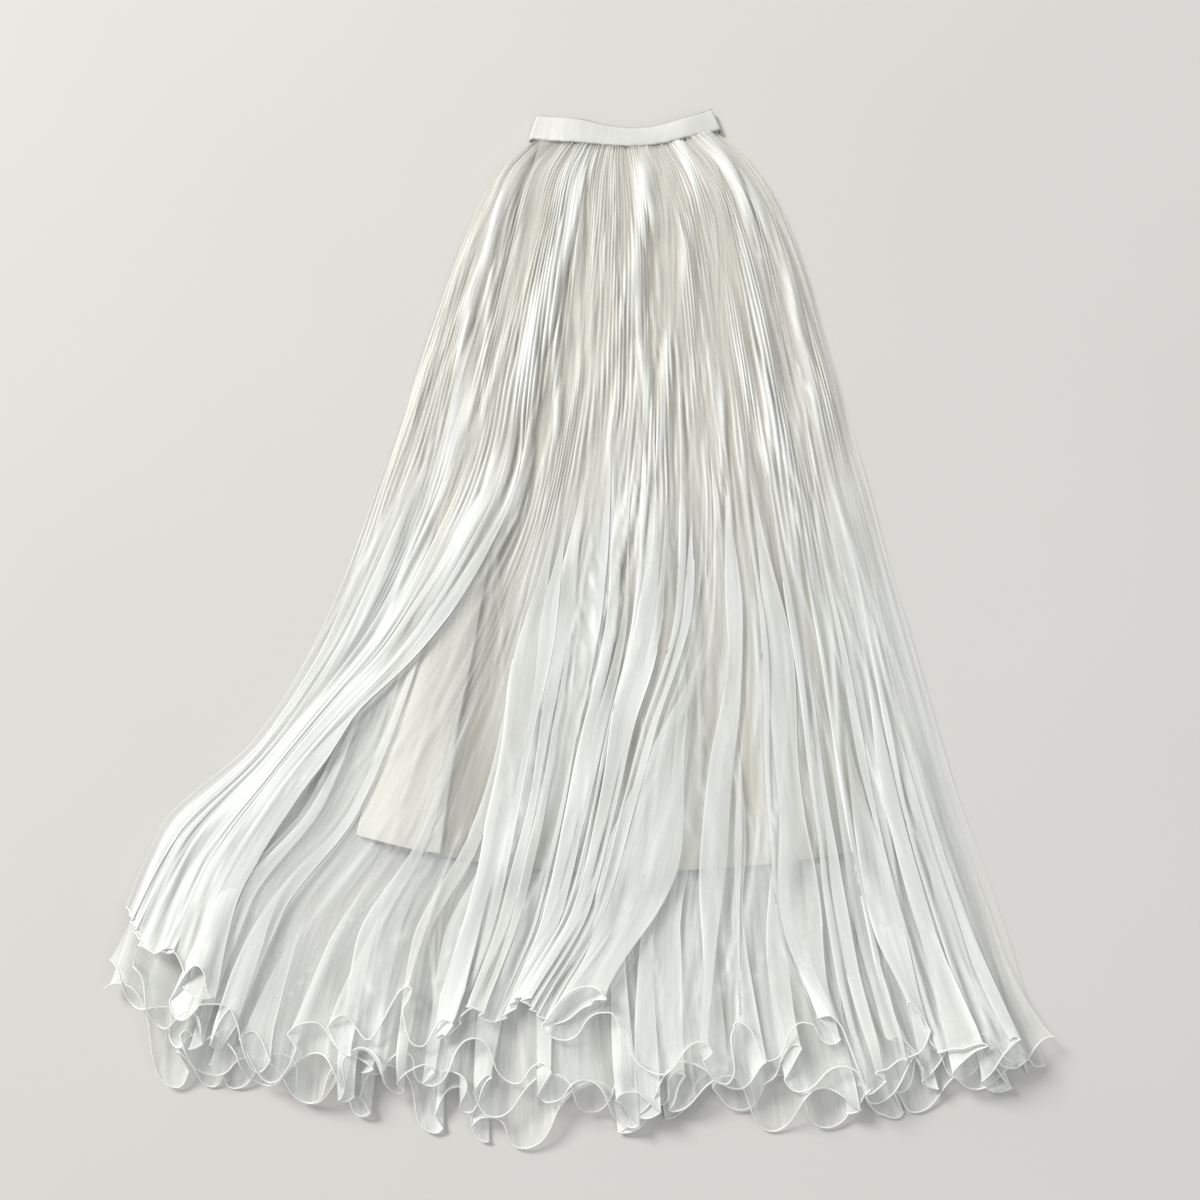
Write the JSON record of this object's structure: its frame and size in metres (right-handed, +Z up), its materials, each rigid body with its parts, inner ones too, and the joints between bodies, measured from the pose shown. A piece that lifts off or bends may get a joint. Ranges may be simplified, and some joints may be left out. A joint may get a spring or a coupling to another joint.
{
  "type": "long pleated tulle skirt laid flat",
  "caption": "Long pleated tulle skirt laid flat, with sheer layers over an opaque A-line lining, a satin waistband and curling lettuce hems.",
  "frame": {"origin": "middle of the laid skirt's footprint, on the surface that it lies on", "axes": "+Z up from the surface, +Y from the hem towards the waistband, +X to the right as seen from above with the waist away"},
  "size_m": [0.8654, 1.1098, 0.038],
  "materials": {
    "satin": "smooth satin over elastic, soft sheen",
    "tulle": "sheer ivory tulle with fine set pleats, faint sheen",
    "lining": "opaque ivory satin, soft sheen",
    "hem_edge": "tight rolled hem over a clear nylon line"
  },
  "bodies": {
    "root": {"waistband": "satin", "outer_front": "tulle", "outer_back": "tulle", "under_front": "tulle", "under_back": "tulle", "lining_front": "lining", "lining_back": "lining", "hem_outer_front": "hem_edge", "hem_outer_back": "hem_edge", "hem_under_front": "hem_edge", "hem_under_back": "hem_edge"}
  },
  "joints": []
}
